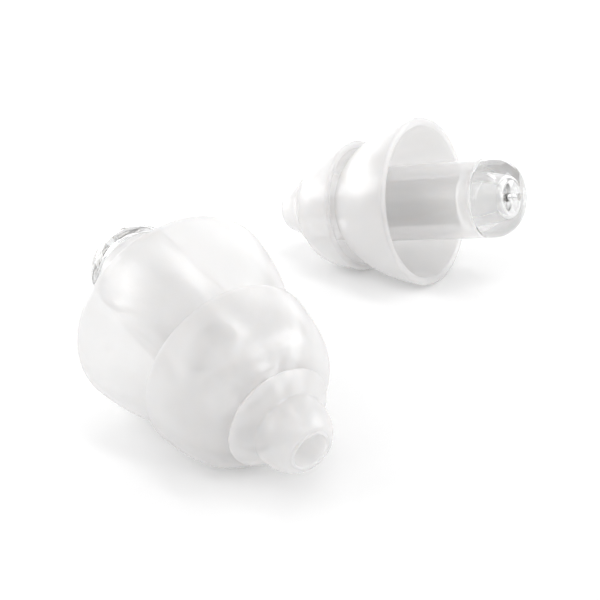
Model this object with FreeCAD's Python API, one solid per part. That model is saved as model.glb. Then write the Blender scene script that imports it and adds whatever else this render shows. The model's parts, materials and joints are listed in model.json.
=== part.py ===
import FreeCAD, Part
import math
import os

os.makedirs("parts", exist_ok=True)

# A pair of flanged ear plugs lying on a flat surface, one a little behind the other.
# Millimetres, +Z up, origin on the surface under the middle of the pair's box.
# Each plug is drawn about its own axis: r is out from the axis, s runs back from the nose tip.

# ---- eartip: one soft moulding with a nose, three flanges and a stem
channelR = 0.94         # sound channel, open at the nose
noseTipR = 1.12         # crest of the rounded lip round the channel
noseLip = 0.16          # depth of the lip inside the channel
lipBow = 0.04
noseBaseR = 1.99
noseBaseS = 1.95
noseBow = 0.32          # how far the nose's side stands out from a straight cone
collarRimR = 2.97       # first, smallest flange
collarRimS = 2.75
collarEdge = 0.16       # thickness of the collar's edge
neckR = 2.38            # waist between the collar and the middle flange
midRootS = 3.3
midRimR = 5.08          # middle flange
midRimS = 7.25
midEdge = 0.55
midWall = 0.75          # how far the inside of the middle flange lies behind its front
coreR = 2.65            # core between the middle and the large flange
largeRootS = 6.7
largeRimR = 6.25        # large flange
largeRimS = 12.9
largeEdge = 0.6
largeWall = 1.3         # how far the inside of the large flange lies behind its front
skirtFlare = 0.15       # outward lean of the skirts at their rims, mm of radius per mm of length
edgeBow = 0.25          # roundness of a skirt's edge, as a share of its thickness
quarterBow = 1 - math.sqrt(0.5)     # rise of a quarter circle over its chord, as a share of its radius
stemR = 2.83
stemEndS = 17.85
stemEndRound = 0.12
cavityFloor = 0.7       # flat ring round the stem at the bottom of the large flange's hollow

# how round each flange is: pulls of its curve at the root and at the rim
midPulls = (2.1, 2.0)
midInnerPulls = (0.9, 1.6)
largePulls = (1.3, 3.6)
largeInnerPulls = (0.7, 3.2)

# ---- filter insert: a clear housing of head, spigot and barrel, and what the barrel holds
runningGap = 0.03       # radial, barrel and spigot in the stem
endGap = 0.05           # between the insert and the faces that stop it
boreR = 1.75            # bore of the stem, for the barrel
socketWall = 0.5        # stem left round the spigot
spigotLength = 1.25     # wide part of the insert just inside the stem's end
headLength = 2.45
headStep = 0.03         # how much slimmer the head is than the stem
headRound = 1.9         # rounding of the head's outer edge
headWall = 1.0          # clear end wall of the head
ventR = 0.25            # hole in the end wall
barrelWall = 0.27
barrelRound = 0.12
stopDepth = 1.55        # from the stem's end in to the filter's stop
stopStep = 0.2          # how far the stop stands in from the barrel's bore
looseGap = 0.02         # round and between the pieces inside the barrel
filterLength = 4.6
meshThickness = 0.12
ringLength = 1.4
ringWall = 0.43
ringRecess = 0.57       # how far the ring sits inside the barrel's mouth

# radii and stations that follow from the sizes above
headR = stemR - headStep
spigotR = stemR - socketWall - runningGap
filterBoreR = boreR - runningGap - barrelWall
filterStopR = filterBoreR - stopStep
fitR = filterBoreR - looseGap
seatS = stemEndS + endGap
headEndS = seatS + headLength
socketS = stemEndS - spigotLength
filterStopS = stemEndS - stopDepth
filterFrontS = filterStopS - looseGap - filterLength
meshFrontS = filterFrontS - looseGap - meshThickness
ringFrontS = meshFrontS - looseGap - ringLength
barrelFrontS = ringFrontS - ringRecess
boreFrontS = barrelFrontS - endGap

# ---- where the two plugs lie: nose direction seen from above, and the large rim's centre
placings = {
    "left": {"yaw": -56.3, "x": 0.0, "y": 0.0},
    "right": {"yaw": 143.5, "x": 16.67, "y": 17.32},
}


def at(r, s):
    return FreeCAD.Vector(r, 0, s)


def line(a, b):
    return Part.LineSegment(a, b).toShape()


def bowed(a, b, bow):
    # arc from a to b whose middle stands out to the right of the way from a to b
    way = (b - a).normalize()
    return Part.Arc(a, (a + b) / 2 + at(way.z, -way.x) * bow, b).toShape()


def flangeCurve(root, rim, pulls):
    # leaves the core straight outwards and meets the rim at the skirt's flare
    curve = Part.BezierCurve()
    lean = math.hypot(skirtFlare, 1)
    besideRoot = at(root.x + pulls[0], root.z)
    besideRim = at(rim.x - pulls[1] * skirtFlare / lean, rim.z - pulls[1] / lean)
    curve.setPoles([root, besideRoot, besideRim, rim])
    return curve.toShape()


def polyline(points):
    return [line(a, b) for a, b in zip(points, points[1:])]


def turned(edges):
    # solid of revolution about the plug's axis from a closed outline
    face = Part.Face(Part.Wire(Part.__sortEdges__(edges)))
    return face.revolve(FreeCAD.Vector(0, 0, 0), FreeCAD.Vector(0, 0, 1), 360)


def tube(outerR, innerR, s0, s1):
    corners = [at(innerR, s0), at(outerR, s0), at(outerR, s1), at(innerR, s1)]
    return turned(polyline(corners + corners[:1]))


def skirt(root, rimR, rimS, edge, pulls, innerRoot, innerPulls):
    # a flange from its root on the core, round its edge and back to the root of its inside
    rim = at(rimR, rimS)
    inner = at(rimR - edge, rimS)
    return [
        flangeCurve(root, rim, pulls),
        bowed(rim, inner, edge * edgeBow),
        flangeCurve(innerRoot, inner, innerPulls),
    ]


def eartip():
    lipIn = at(channelR, noseLip)
    lipTop = at(noseTipR, 0)
    noseBase = at(noseBaseR, noseBaseS)
    collarRim = at(collarRimR, collarRimS)
    collarBack = at(collarRimR - collarEdge, collarRimS + collarEdge)
    neck = at(neckR, collarRimS + collarEdge)
    midRoot = at(neckR, midRootS)
    midInnerRoot = at(coreR, midRootS + midWall)
    largeRoot = at(coreR, largeRootS)
    cavityS = largeRootS + largeWall
    floorOut = at(stemR + cavityFloor, cavityS)
    stemEdge = at(stemR, stemEndS - stemEndRound)
    stemFace = at(stemR - stemEndRound, stemEndS)
    socketR = spigotR + runningGap
    edges = [bowed(lipIn, lipTop, lipBow), bowed(lipTop, noseBase, noseBow)]
    edges += [line(noseBase, collarRim), bowed(collarRim, collarBack, collarEdge * edgeBow)]
    edges += polyline([collarBack, neck, midRoot])
    edges += skirt(midRoot, midRimR, midRimS, midEdge, midPulls, midInnerRoot, midInnerPulls)
    edges += [line(midInnerRoot, largeRoot)]
    edges += skirt(largeRoot, largeRimR, largeRimS, largeEdge, largePulls, floorOut, largeInnerPulls)
    edges += polyline([floorOut, at(stemR, cavityS), stemEdge])
    edges += [bowed(stemEdge, stemFace, stemEndRound * quarterBow)]
    edges += polyline([
        stemFace,
        at(socketR, stemEndS),
        at(socketR, socketS),
        at(boreR, socketS),
        at(boreR, boreFrontS),
        at(channelR, boreFrontS),
        lipIn,
    ])
    return turned(edges)


def filterHousing():
    barrelR = boreR - runningGap
    shoulder = socketS + endGap
    cavityEnd = headEndS - headWall
    roundStart = at(headR, headEndS - headRound)
    roundEnd = at(headR - headRound, headEndS)
    outside = [
        at(filterBoreR, barrelFrontS),
        at(barrelR - barrelRound, barrelFrontS),
        at(barrelR, barrelFrontS + barrelRound),
        at(barrelR, shoulder),
        at(spigotR, shoulder),
        at(spigotR, seatS),
        at(headR, seatS),
        roundStart,
    ]
    inside = [
        roundEnd,
        at(ventR, headEndS),
        at(ventR, cavityEnd),
        at(filterStopR, cavityEnd),
        at(filterStopR, filterStopS),
        at(filterBoreR, filterStopS),
        at(filterBoreR, barrelFrontS),
    ]
    return turned(polyline(outside) + [bowed(roundStart, roundEnd, headRound * quarterBow)] + polyline(inside))


def insertStack():
    # from the filter's stop forwards: ceramic filter, mesh screen, retaining ring
    return {
        "ceramic_filter": Part.makeCylinder(fitR, filterLength, at(0, filterFrontS)),
        "mesh_screen": Part.makeCylinder(fitR, meshThickness, at(0, meshFrontS)),
        "retaining_ring": tube(fitR, fitR - ringWall, ringFrontS, ringFrontS + ringLength),
    }


def lying(place):
    # the plug lies nose down on the rims of its middle and large flanges
    tilt = math.atan2(largeRimR - midRimR, largeRimS - midRimS)
    yaw = math.radians(place["yaw"])
    flat = math.cos(tilt)
    back = FreeCAD.Vector(-flat * math.cos(yaw), -flat * math.sin(yaw), math.sin(tilt))
    turn = FreeCAD.Rotation(FreeCAD.Vector(0, 0, 1), back)
    rimCentre = FreeCAD.Vector(place["x"], place["y"], largeRimR * flat)
    return FreeCAD.Placement(rimCentre - back * largeRimS, turn), back


plug = {"eartip": eartip(), "filter_housing": filterHousing()}
plug.update(insertStack())

nodes = {}
axes = {}
for side, place in placings.items():
    placement, axes[side] = lying(place)
    for piece, solid in plug.items():
        nodes[side + "_" + piece] = solid.transformed(placement.toMatrix())

box = Part.makeCompound(list(nodes.values())).optimalBoundingBox(False)
shift = FreeCAD.Vector(-box.Center.x, -box.Center.y, -box.ZMin)
for name, solid in nodes.items():
    solid.translate(shift)
    solid.exportStep("parts/" + name + ".step")

for side, place in placings.items():
    placement, back = lying(place)
    stemFrom = placement.multVec(at(0, largeRootS + largeWall)) + shift
    stemTo = placement.multVec(at(0, stemEndS - stemEndRound)) + shift
    noseTip = placement.multVec(at(0, 0)) + shift
    print(side, "axis to the head", tuple(round(v, 6) for v in back))
    print(side, "stem from", tuple(round(v, 4) for v in stemFrom), "to", tuple(round(v, 4) for v in stemTo))
    print(side, "nose tip", tuple(round(v, 4) for v in noseTip))
print("box", box.XLength, box.YLength, box.ZLength)
for name, solid in nodes.items():
    print(name, "volume", round(solid.Volume, 3), "valid", solid.isValid())
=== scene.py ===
import bpy
import json
import math
from mathutils import Matrix, Vector


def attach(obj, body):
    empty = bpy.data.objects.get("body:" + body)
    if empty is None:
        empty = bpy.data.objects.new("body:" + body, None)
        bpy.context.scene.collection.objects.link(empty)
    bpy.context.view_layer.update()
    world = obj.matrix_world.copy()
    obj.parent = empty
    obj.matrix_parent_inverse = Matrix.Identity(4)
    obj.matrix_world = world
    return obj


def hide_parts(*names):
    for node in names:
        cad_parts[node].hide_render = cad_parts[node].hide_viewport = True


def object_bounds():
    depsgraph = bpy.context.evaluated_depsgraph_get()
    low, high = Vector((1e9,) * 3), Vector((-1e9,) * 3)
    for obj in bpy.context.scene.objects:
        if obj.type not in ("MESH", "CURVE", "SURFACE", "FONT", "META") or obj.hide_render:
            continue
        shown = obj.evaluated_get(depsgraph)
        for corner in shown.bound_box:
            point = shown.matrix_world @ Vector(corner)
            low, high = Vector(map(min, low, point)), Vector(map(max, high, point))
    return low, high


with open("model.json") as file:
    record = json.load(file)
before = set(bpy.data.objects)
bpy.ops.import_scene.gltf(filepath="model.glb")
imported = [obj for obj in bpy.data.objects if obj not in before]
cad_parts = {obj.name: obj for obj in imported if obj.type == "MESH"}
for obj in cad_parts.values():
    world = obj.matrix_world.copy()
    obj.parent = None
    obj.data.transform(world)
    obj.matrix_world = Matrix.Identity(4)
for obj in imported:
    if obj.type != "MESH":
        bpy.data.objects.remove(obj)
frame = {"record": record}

cadLow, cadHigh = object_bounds()
mm = 0.001
print("stage: frame loaded")

# every outline below is a list of stations (r, s) in millimetres: r is out from the plug's axis,
# s runs back from the nose tip. A third number rounds that corner, from so far before and after it


def bezierPoints(start, besideStart, besideEnd, end, steps):
    # points along a cubic curve, both ends included
    points = []
    for i in range(steps + 1):
        t = i / steps
        u = 1 - t
        weights = (u ** 3, 3 * u * u * t, 3 * u * t * t, t ** 3)
        corners = (start, besideStart, besideEnd, end)
        points.append(tuple(sum(w * c[k] for w, c in zip(weights, corners)) for k in (0, 1)))
    return points


def skirtCurve(root, rim, pulls, flare, steps=30):
    # leaves the core straight outwards and meets the rim at the skirt's flare
    lean = math.hypot(flare, 1)
    besideRim = (rim[0] - pulls[1] * flare / lean, rim[1] - pulls[1] / lean)
    return bezierPoints(root, (root[0] + pulls[0], root[1]), besideRim, rim, steps)


def edgePoints(outer, inner, steps=10):
    # rounded edge of a skirt, bulging backwards by a quarter of its thickness
    halfR = (outer[0] - inner[0]) / 2
    middleR = (outer[0] + inner[0]) / 2
    points = []
    for k in range(1, steps):
        angle = math.pi * k / steps
        points.append((middleR + halfR * math.cos(angle), outer[1] + halfR / 2 * math.sin(angle)))
    return points


def softCorners(stations, steps=6):
    # the outline with its rounded corners drawn as short curves
    points = []
    count = len(stations)
    for i, station in enumerate(stations):
        if len(station) == 2:
            points.append(station)
            continue
        corner = Vector(station[:2])
        before = Vector(stations[i - 1][:2])
        after = Vector(stations[(i + 1) % count][:2])
        start = corner + (before - corner).normalized() * station[2]
        end = corner + (after - corner).normalized() * station[2]
        for k in range(steps + 1):
            t = k / steps
            points.append(tuple(start * (1 - t) ** 2 + corner * 2 * t * (1 - t) + end * t * t))
    return points


def smoothMesh(name, vertices, faces):
    mesh = bpy.data.meshes.new(name)
    mesh.from_pydata(vertices, [], faces)
    mesh.validate()
    mesh.shade_smooth()
    return mesh


def turnedMesh(name, outline, around=160):
    # a closed outline turned about the local Z axis
    vertices = []
    rings = []
    for r, s in outline:
        if r == 0:
            rings.append([len(vertices)] * around)
            vertices.append((0, 0, s * mm))
            continue
        rings.append(range(len(vertices), len(vertices) + around))
        for k in range(around):
            angle = 2 * math.pi * k / around
            vertices.append((r * mm * math.cos(angle), r * mm * math.sin(angle), s * mm))
    faces = []
    for i in range(len(rings)):
        ring, nextRing = rings[i - 1], rings[i]
        for k in range(around):
            m = (k + 1) % around
            corners = list(dict.fromkeys((ring[k], ring[m], nextRing[m], nextRing[k])))
            if len(corners) > 2:
                faces.append(corners)
    piece = bpy.data.objects.new(name, smoothMesh(name, vertices, faces))
    bpy.context.scene.collection.objects.link(piece)
    return piece


# the soft moulding: a nose with its sound hole, a collar, the middle and large flanges and the stem
eartipSizes = {
    "channelR": 0.94, "noseTipR": 1.12, "noseBaseR": 1.99, "noseBaseS": 1.95,
    "noseBow": 0.32, "noseFullness": (0.12, 0.3),  # how far its side stands out, and how soon at each end
    "beadR": 0.09, "beadStartS": 0.234, "beadFoot": (1.129, 0.1035),  # small bead round the sound hole
    "collarRimR": 2.97, "collarRimS": 2.75, "collarEdge": 0.16, "collarRounds": (0.1, 0.08),
    "neckR": 2.38, "neckRound": 0.12, "coreR": 2.65, "coreRound": 0.1,
    "midRootS": 3.3, "midRimR": 5.08, "midRimS": 7.25, "midEdge": 0.55, "midWall": 0.75,
    "midPulls": (2.1, 2.0), "midInnerPulls": (0.9, 1.6),
    "largeRootS": 6.7, "largeRimR": 6.25, "largeRimS": 12.9, "largeEdge": 0.6, "largeWall": 1.3,
    "largePulls": (1.3, 3.6), "largeInnerPulls": (0.7, 3.2),
    "flare": 0.15, "cavityFloor": 0.7, "cavityRound": 0.3,
    "stemR": 2.83, "stemEndS": 17.85, "stemEndRound": 0.12,
    "socketR": 2.33, "socketS": 16.6, "socketRounds": (0.06, 0.05),
    "boreR": 1.75, "boreFrontS": 9.5, "boreRounds": (0.08, 0.1), "channelRound": 0.1,
}


def noseStations(z):
    # the bead round the sound hole, then the nose's full side
    tip, base = (z["noseTipR"], 0.0), (z["noseBaseR"], z["noseBaseS"])
    way = (base[0] - tip[0], base[1] - tip[1])
    chord = math.hypot(*way)
    bulge = z["noseBow"] * 4 / 3  # a cubic curve's middle stands out by three quarters of its handles
    out = (way[1] / chord * bulge, -way[0] / chord * bulge)
    nearTip, nearBase = z["noseFullness"]
    side = bezierPoints(
        tip,
        (tip[0] + way[0] * nearTip + out[0], tip[1] + way[1] * nearTip + out[1]),
        (base[0] - way[0] * nearBase + out[0], base[1] - way[1] * nearBase + out[1]),
        base, 18)
    stations = [(z["channelR"], z["beadStartS"]), (z["channelR"], z["beadR"])]
    for k in range(1, 9):
        angle = math.pi * k / 8
        r = z["channelR"] + z["beadR"] * (1 - math.cos(angle))
        stations.append((r, z["beadR"] * (1 - math.sin(angle))))
    return stations + [z["beadFoot"]] + side[2:-1] + [(*base, z["neckRound"])]


def eartipOutline(z):
    collarR, collarS = z["collarRimR"], z["collarRimS"]
    collarBack = collarS + z["collarEdge"]
    rimRound, backRound = z["collarRounds"]
    stations = noseStations(z)
    stations += [(collarR, collarS, rimRound), (collarR - z["collarEdge"], collarBack, backRound)]
    stations += [(z["neckR"], collarBack, z["neckRound"]), (z["neckR"], z["midRootS"], z["neckRound"])]
    rim, inner = (z["midRimR"], z["midRimS"]), (z["midRimR"] - z["midEdge"], z["midRimS"])
    innerRoot = (z["coreR"], z["midRootS"] + z["midWall"])
    largeRoot = (z["coreR"], z["largeRootS"])
    stations += skirtCurve((z["neckR"], z["midRootS"]), rim, z["midPulls"], z["flare"])[2:]
    stations += edgePoints(rim, inner)
    stations += skirtCurve(innerRoot, inner, z["midInnerPulls"], z["flare"])[::-1][:-2]
    stations += [(*innerRoot, z["coreRound"]), (*largeRoot, z["coreRound"])]
    rim, inner = (z["largeRimR"], z["largeRimS"]), (z["largeRimR"] - z["largeEdge"], z["largeRimS"])
    cavityS = z["largeRootS"] + z["largeWall"]
    cavityFloor = (z["stemR"] + z["cavityFloor"], cavityS)
    stations += skirtCurve(largeRoot, rim, z["largePulls"], z["flare"])[2:]
    stations += edgePoints(rim, inner)
    stations += skirtCurve(cavityFloor, inner, z["largeInnerPulls"], z["flare"])[::-1]
    mouthRound, stepRound = z["socketRounds"]
    boreRound, boreEndRound = z["boreRounds"]
    stations += [(z["stemR"], cavityS, z["cavityRound"]), (z["stemR"], z["stemEndS"], z["stemEndRound"])]
    stations += [(z["socketR"], z["stemEndS"], mouthRound), (z["socketR"], z["socketS"], stepRound)]
    stations += [(z["boreR"], z["socketS"], boreRound), (z["boreR"], z["boreFrontS"], boreEndRound)]
    stations += [(z["channelR"], z["boreFrontS"], z["channelRound"])]
    return softCorners(stations)


# the clear insert: a rounded head, a spigot that fills the stem's end and a barrel down the bore
housingSizes = {
    "barrelR": 1.72, "frontS": 9.55, "frontRounds": (0.08, 0.15),
    "spigotR": 2.3, "shoulderS": 16.65, "edgeRound": 0.08, "seatS": 17.9, "seatRound": 0.05,
    "headR": 2.8, "headEndS": 20.35, "headRound": 1.9, "polishedFromS": 17.8,
    "ventR": 0.25, "ventRounds": (0.06, 0.05), "cavityEndS": 19.35, "cavityRound": 0.3,
    "filterBoreR": 1.45, "filterStopR": 1.25, "filterStopS": 16.3, "stopRound": 0.04,
}


def housingOutline(z):
    centreR, centreS = z["headR"] - z["headRound"], z["headEndS"] - z["headRound"]
    dome = []
    for k in range(25):
        angle = math.pi / 2 * k / 24
        r = centreR + z["headRound"] * math.cos(angle)
        dome.append((r, centreS + z["headRound"] * math.sin(angle)))
    boreRound, barrelRound = z["frontRounds"]
    ventOut, ventIn = z["ventRounds"]
    edge = z["edgeRound"]
    stations = [(z["filterBoreR"], z["frontS"], boreRound), (z["barrelR"], z["frontS"], barrelRound)]
    stations += [(z["barrelR"], z["shoulderS"], edge), (z["spigotR"], z["shoulderS"], edge)]
    stations += [(z["spigotR"], z["seatS"], z["seatRound"]), (z["headR"], z["seatS"], edge)]
    stations += dome
    stations += [(z["ventR"], z["headEndS"], ventOut), (z["ventR"], z["cavityEndS"], ventIn)]
    stations += [(z["filterStopR"], z["cavityEndS"], z["cavityRound"])]
    stations += [(z["filterStopR"], z["filterStopS"], z["stopRound"])]
    stations += [(z["filterBoreR"], z["filterStopS"], z["stopRound"])]
    return softCorners(stations)


filterSizes = {"r": 1.43, "frontS": 11.68, "backS": 16.28, "edgeRound": 0.08}


def filterOutline(z):
    return softCorners([
        (0, z["frontS"]), (z["r"], z["frontS"], z["edgeRound"]),
        (z["r"], z["backS"], z["edgeRound"]), (0, z["backS"])])


ringSizes = {
    "r": 1.43, "holeR": 1.0, "frontS": 10.12, "backS": 11.52,
    "leadIn": 0.1, "holeRound": 0.08, "backRound": 0.05,
}


def ringOutline(z):
    return softCorners([
        (z["holeR"], z["frontS"], z["holeRound"]), (z["r"], z["frontS"], z["leadIn"]),
        (z["r"], z["backS"], z["backRound"]), (z["holeR"], z["backS"], z["backRound"])])


screenSizes = {
    "r": 1.43, "middleS": 11.6, "rimR": 0.058, "rimSides": 12,
    "wireCount": 19, "wireR": 0.028, "wireInset": 0.06, "wireSides": 6,
}


def circlePoints(centreA, centreB, radius, sides):
    turns = [2 * math.pi * k / sides for k in range(sides)]
    return [(centreA + radius * math.cos(t), centreB + radius * math.sin(t)) for t in turns]


def wovenScreen(name, z):
    # wires over and under each other inside a rolled rim
    piece = turnedMesh(name, circlePoints(z["r"] - z["rimR"], z["middleS"], z["rimR"], z["rimSides"]), 96)
    vertices = [tuple(v.co) for v in piece.data.vertices]
    faces = [tuple(p.vertices) for p in piece.data.polygons]
    height, wireR, sides = z["middleS"] * mm, z["wireR"] * mm, z["wireSides"]
    reach = (z["r"] - z["wireInset"]) * mm
    pitch = 2 * reach / (z["wireCount"] + 1)
    for way in (0, 1):
        for i in range(z["wireCount"]):
            across = -reach + pitch * (i + 1)
            half = math.sqrt(max(reach ** 2 - across ** 2, 0))
            steps = max(4, int(2 * half / pitch) * 4)
            rings = []
            for k in range(steps + 1):
                along = -half + 2 * half * k / steps
                lift = wireR * math.cos(math.pi * (along + reach) / pitch) * (1 if (i + way) % 2 else -1)
                rings.append(tuple(range(len(vertices), len(vertices) + sides)))
                for aside, up in circlePoints(across, height + lift, wireR, sides):
                    vertices.append((along, aside, up) if way == 0 else (aside, along, up))
            for a, b in zip(rings, rings[1:]):
                for j in range(sides):
                    m = (j + 1) % sides
                    faces.append((a[j], a[m], b[m], b[j]) if way == 0 else (a[j], b[j], b[m], a[m]))
            faces.append(rings[0] if way else rings[0][::-1])
            faces.append(rings[-1][::-1] if way else rings[-1])
    piece.data = smoothMesh(name + "Mesh", vertices, faces)
    return piece


def mouldedFinish():
    # cloudiness and fine tooth of a moulded surface: a tinted colour, a roughness and a height
    group = bpy.data.node_groups.new("mouldedFinish", "ShaderNodeTree")
    for label, kind, value in [
        ("Colour", "NodeSocketColor", (0.9, 0.9, 0.9, 1)),
        ("Cloud Colour", "NodeSocketColor", (0.85, 0.85, 0.85, 1)),
        ("Cloud Scale", "NodeSocketFloat", 300.0),
        ("Tooth Scale", "NodeSocketFloat", 6000.0),
        ("Roughness", "NodeSocketFloat", 0.3),
        ("Roughness Spread", "NodeSocketFloat", 0.06),
    ]:
        socket = group.interface.new_socket(name=label, in_out="INPUT", socket_type=kind)
        socket.default_value = value
    for label in ("Colour", "Roughness", "Height"):
        kind = "NodeSocketColor" if label == "Colour" else "NodeSocketFloat"
        group.interface.new_socket(name=label, in_out="OUTPUT", socket_type=kind)
    nodes, links = group.nodes, group.links
    ins, outs = nodes.new("NodeGroupInput"), nodes.new("NodeGroupOutput")
    place = nodes.new("ShaderNodeTexCoord")
    noises = {}
    for label, detail in (("Cloud Scale", 3), ("Tooth Scale", 4)):
        noise = nodes.new("ShaderNodeTexNoise")
        noise.inputs["Detail"].default_value = detail
        links.new(place.outputs["Object"], noise.inputs["Vector"])
        links.new(ins.outputs[label], noise.inputs["Scale"])
        noises[label] = noise.outputs["Fac"]
    tint = nodes.new("ShaderNodeMix")
    tint.data_type = "RGBA"
    links.new(noises["Cloud Scale"], tint.inputs["Factor"])
    links.new(ins.outputs["Colour"], tint.inputs["A"])
    links.new(ins.outputs["Cloud Colour"], tint.inputs["B"])
    centred = nodes.new("ShaderNodeMath")
    centred.operation = "SUBTRACT"
    centred.inputs[1].default_value = 0.5
    links.new(noises["Cloud Scale"], centred.inputs[0])
    spread = nodes.new("ShaderNodeMath")
    spread.operation = "MULTIPLY_ADD"
    links.new(centred.outputs[0], spread.inputs[0])
    links.new(ins.outputs["Roughness Spread"], spread.inputs[1])
    links.new(ins.outputs["Roughness"], spread.inputs[2])
    links.new(tint.outputs["Result"], outs.inputs["Colour"])
    links.new(spread.outputs[0], outs.inputs["Roughness"])
    links.new(noises["Tooth Scale"], outs.inputs["Height"])
    return group


finishGroup = mouldedFinish()


def finishedMaterial(name, values, toothHeight, shader):
    # a Principled surface whose colour, roughness and bump come from the moulded finish
    material = bpy.data.materials.new(name)
    material.use_nodes = True
    nodes, links = material.node_tree.nodes, material.node_tree.links
    surface = nodes["Principled BSDF"]
    finish = nodes.new("ShaderNodeGroup")
    finish.node_tree = finishGroup
    for label, value in values.items():
        finish.inputs[label].default_value = value
    bump = nodes.new("ShaderNodeBump")
    bump.inputs["Distance"].default_value = toothHeight
    bump.inputs["Strength"].default_value = 0.5
    links.new(finish.outputs["Height"], bump.inputs["Height"])
    links.new(bump.outputs["Normal"], surface.inputs["Normal"])
    links.new(finish.outputs["Colour"], surface.inputs["Base Color"])
    links.new(finish.outputs["Roughness"], surface.inputs["Roughness"])
    for label, value in shader.items():
        surface.inputs[label].default_value = value
    return material


siliconeVeil = {"blend": 0.35, "faceOn": 0.39, "edgeOn": 0.52}


def translucentSilicone(veil):
    # satin, milky and thin enough to see through; a surface seen edge-on hides more of what is behind it
    material = finishedMaterial("milkySilicone", {
        "Colour": (0.83, 0.822, 0.82, 1), "Cloud Colour": (0.79, 0.782, 0.78, 1),
        "Cloud Scale": 260.0, "Tooth Scale": 9000.0, "Roughness": 0.255, "Roughness Spread": 0.03,
    }, 0.00001, {
        "IOR": 1.6, "Specular IOR Level": 1.0, "Subsurface Weight": 0.5,
        "Subsurface Radius": (0.0012, 0.0011, 0.001), "Subsurface Scale": 1.0,
    })
    nodes, links = material.node_tree.nodes, material.node_tree.links
    facing = nodes.new("ShaderNodeLayerWeight")
    facing.inputs["Blend"].default_value = veil["blend"]
    cover = nodes.new("ShaderNodeMapRange")
    cover.inputs["To Min"].default_value = veil["faceOn"]
    cover.inputs["To Max"].default_value = veil["edgeOn"]
    links.new(facing.outputs["Facing"], cover.inputs["Value"])
    links.new(cover.outputs["Result"], nodes["Principled BSDF"].inputs["Alpha"])
    return material


def mouldedClear(name, roughness, ior, shade):
    # clear plastic with the faint waves of a small moulding; lamps shine through it on to what it holds
    material = finishedMaterial(name, {
        "Colour": (shade, shade, shade, 1),
        "Cloud Colour": (shade * 0.98, shade * 0.985, shade * 0.985, 1),
        "Cloud Scale": 200.0, "Tooth Scale": 900.0, "Roughness": roughness, "Roughness Spread": 0.03,
    }, 0.00001, {"IOR": ior, "Transmission Weight": 1.0})
    nodes, links = material.node_tree.nodes, material.node_tree.links
    path = nodes.new("ShaderNodeLightPath")
    clear = nodes.new("ShaderNodeBsdfTransparent")
    clear.inputs["Color"].default_value = (0.92, 0.92, 0.92, 1)
    pick = nodes.new("ShaderNodeMixShader")
    links.new(path.outputs["Is Shadow Ray"], pick.inputs["Fac"])
    links.new(nodes["Principled BSDF"].outputs["BSDF"], pick.inputs[1])
    links.new(clear.outputs["BSDF"], pick.inputs[2])
    links.new(pick.outputs["Shader"], nodes["Material Output"].inputs["Surface"])
    return material


milkySilicone = translucentSilicone(siliconeVeil)
clearPlastic = mouldedClear("clearPlastic", roughness=0.06, ior=1.47, shade=0.87)
frostedPlastic = mouldedClear("frostedPlastic", roughness=0.5, ior=1.49, shade=0.985)

porousCeramic = finishedMaterial("porousCeramic", {
    "Colour": (0.74, 0.73, 0.71, 1), "Cloud Colour": (0.55, 0.54, 0.52, 1),
    "Cloud Scale": 5000.0, "Tooth Scale": 12000.0, "Roughness": 0.85, "Roughness Spread": 0.1,
}, 0.00005, {"IOR": 1.5})

steelWire = finishedMaterial("steelWire", {
    "Colour": (0.62, 0.62, 0.63, 1), "Cloud Colour": (0.5, 0.5, 0.51, 1),
    "Cloud Scale": 4000.0, "Tooth Scale": 20000.0, "Roughness": 0.3, "Roughness Spread": 0.15,
}, 0.000003, {"Metallic": 1.0})

whitePlastic = finishedMaterial("whitePlastic", {
    "Colour": (0.88, 0.88, 0.87, 1), "Cloud Colour": (0.83, 0.83, 0.82, 1),
    "Cloud Scale": 900.0, "Tooth Scale": 9000.0, "Roughness": 0.45, "Roughness Spread": 0.1,
}, 0.00001, {"IOR": 1.48})
print("stage: materials made")


def plugMatrix(side):
    # local origin at the nose tip, local Z back along the plug's axis, from the canal mount
    mount = next(m for m in frame["record"]["mounts"] if m["name"] == side + "_ear_canal")
    back = -Vector(mount["axis"]).normalized()
    return Matrix.Translation(Vector(mount["pos_m"])) @ back.to_track_quat("Z", "Y").to_matrix().to_4x4()


def frostInside(piece, polishedFromS):
    # the barrel and the spigot, inside the stem, have a fine matt finish; only the head is polished
    piece.data.materials.append(frostedPlastic)
    for face in piece.data.polygons:
        if face.center.z < polishedFromS * mm:
            face.material_index = 1


def placed(piece, side, body, node, material):
    piece.data.materials.append(material)
    if node == "filter_housing":
        frostInside(piece, housingSizes["polishedFromS"])
    piece.data.transform(plugMatrix(side))
    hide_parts(side + "_" + node)
    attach(piece, side + "_" + body)


for side in ("left", "right"):
    placed(turnedMesh(side + "Eartip", eartipOutline(eartipSizes)),
           side, "plug", "eartip", milkySilicone)
    placed(turnedMesh(side + "FilterHousing", housingOutline(housingSizes)),
           side, "filter", "filter_housing", clearPlastic)
    placed(turnedMesh(side + "CeramicFilter", filterOutline(filterSizes), 96),
           side, "filter", "ceramic_filter", porousCeramic)
    placed(wovenScreen(side + "MeshScreen", screenSizes),
           side, "filter", "mesh_screen", steelWire)
    placed(turnedMesh(side + "RetainingRing", ringOutline(ringSizes), 96),
           side, "filter", "retaining_ring", whitePlastic)
    print("stage:", side, "plug built")


floorSizes = {"half": 0.28, "colour": (0.9, 0.9, 0.9, 1)}


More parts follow.
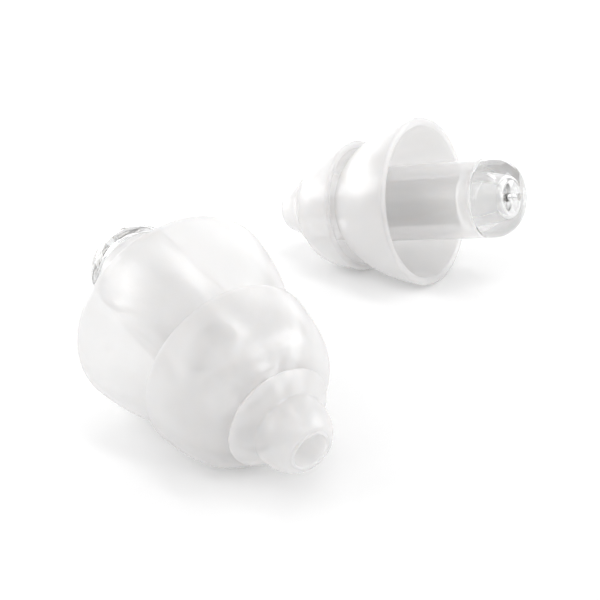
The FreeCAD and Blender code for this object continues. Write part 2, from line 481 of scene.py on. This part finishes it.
def paleFloor(z):
    half = z["half"]
    corners = [(-half, -half, 0), (half, -half, 0), (half, half, 0), (-half, half, 0)]
    mesh = bpy.data.meshes.new("paleFloor")
    mesh.from_pydata(corners, [], [(0, 1, 2, 3)])
    floor = bpy.data.objects.new("paleFloor", mesh)
    bpy.context.scene.collection.objects.link(floor)
    floor.location.z = cadLow.z
    floor.data.materials.append(finishedMaterial("paleFloor", {
        "Colour": z["colour"], "Cloud Colour": z["colour"], "Cloud Scale": 3.0,
        "Tooth Scale": 2000.0, "Roughness": 0.7, "Roughness Spread": 0.0,
    }, 0.000005, {"Specular IOR Level": 0.2}))


worldSizes = {"ambient": 0.44, "backdrop": 1.0}


def studioWorld(z):
    # an even, dim room; looked at directly it is a pale backdrop
    world = bpy.data.worlds.new("studioWorld")
    bpy.context.scene.world = world
    world.use_nodes = True
    nodes, links = world.node_tree.nodes, world.node_tree.links
    seen = nodes.new("ShaderNodeLightPath")
    pick = nodes.new("ShaderNodeMix")
    pick.data_type = "RGBA"
    for socket, grey in (("A", z["ambient"]), ("B", z["backdrop"])):
        pick.inputs[socket].default_value = (grey, grey, grey, 1)
    links.new(seen.outputs["Is Camera Ray"], pick.inputs["Factor"])
    links.new(pick.outputs["Result"], nodes["Background"].inputs["Color"])


# soft boxes round the plugs, all at one distance in metres. Each has its heading and rise in degrees
# as seen from the plugs, its width and height in metres, and its watts
lightSizes = {
    "distance": 0.5,
    "boxes": {
        "frontHigh": (-90, 50, 0.6, 0.3, 0.68),
        "rightBox": (0, 22, 0.34, 0.3, 0.95),
        "leftBox": (180, 35, 0.34, 0.3, 0.2),
        "backLeft": (138, 12, 0.5, 0.2, 1.35),
        "backBox": (90, 35, 0.6, 0.3, 0.45),
        "backLow": (80, 9, 0.5, 0.12, 0.45),
        "topStrip": (-45, 82, 0.08, 0.32, 0.4),
        "leftStrip": (-158, 36, 0.05, 0.5, 0.36),
        "rightStrip": (-45, 27, 0.06, 0.2, 0.18),
    },
}


def softBox(name, heading, rise, width, tall, watts, distance, aim):
    light = bpy.data.lights.new(name, "AREA")
    light.shape = "RECTANGLE"
    light.size, light.size_y = width, tall
    light.energy = watts
    lamp = bpy.data.objects.new(name, light)
    bpy.context.scene.collection.objects.link(lamp)
    turn, up = math.radians(heading), math.radians(rise)
    flat = distance * math.cos(up)
    lamp.location = (flat * math.cos(turn), flat * math.sin(turn), distance * math.sin(up))
    lamp.rotation_euler = (aim - lamp.location).to_track_quat("-Z", "Y").to_euler()
    lamp.visible_camera = False


cameraSizes = {
    "place": (-2.036 * mm, -53.479 * mm, 28.013 * mm),
    "down": 24.809, "roll": 3.209, "lens": 53.52,
}


def studioCamera(z):
    camera = bpy.data.objects.new("studioCamera", bpy.data.cameras.new("studioCamera"))
    bpy.context.scene.collection.objects.link(camera)
    camera.data.sensor_width = 36
    camera.data.lens = z["lens"]
    camera.data.clip_start = 0.001
    camera.matrix_world = (Matrix.Translation(z["place"])
                           @ Matrix.Rotation(math.radians(90 - z["down"]), 4, "X")
                           @ Matrix.Rotation(math.radians(-z["roll"]), 4, "Z"))
    bpy.context.scene.camera = camera


paleFloor(floorSizes)
studioWorld(worldSizes)
for name, values in lightSizes["boxes"].items():
    softBox(name, *values, lightSizes["distance"], (cadLow + cadHigh) / 2)
studioCamera(cameraSizes)
bpy.context.scene.view_settings.view_transform = "Standard"
print("stage: studio set")
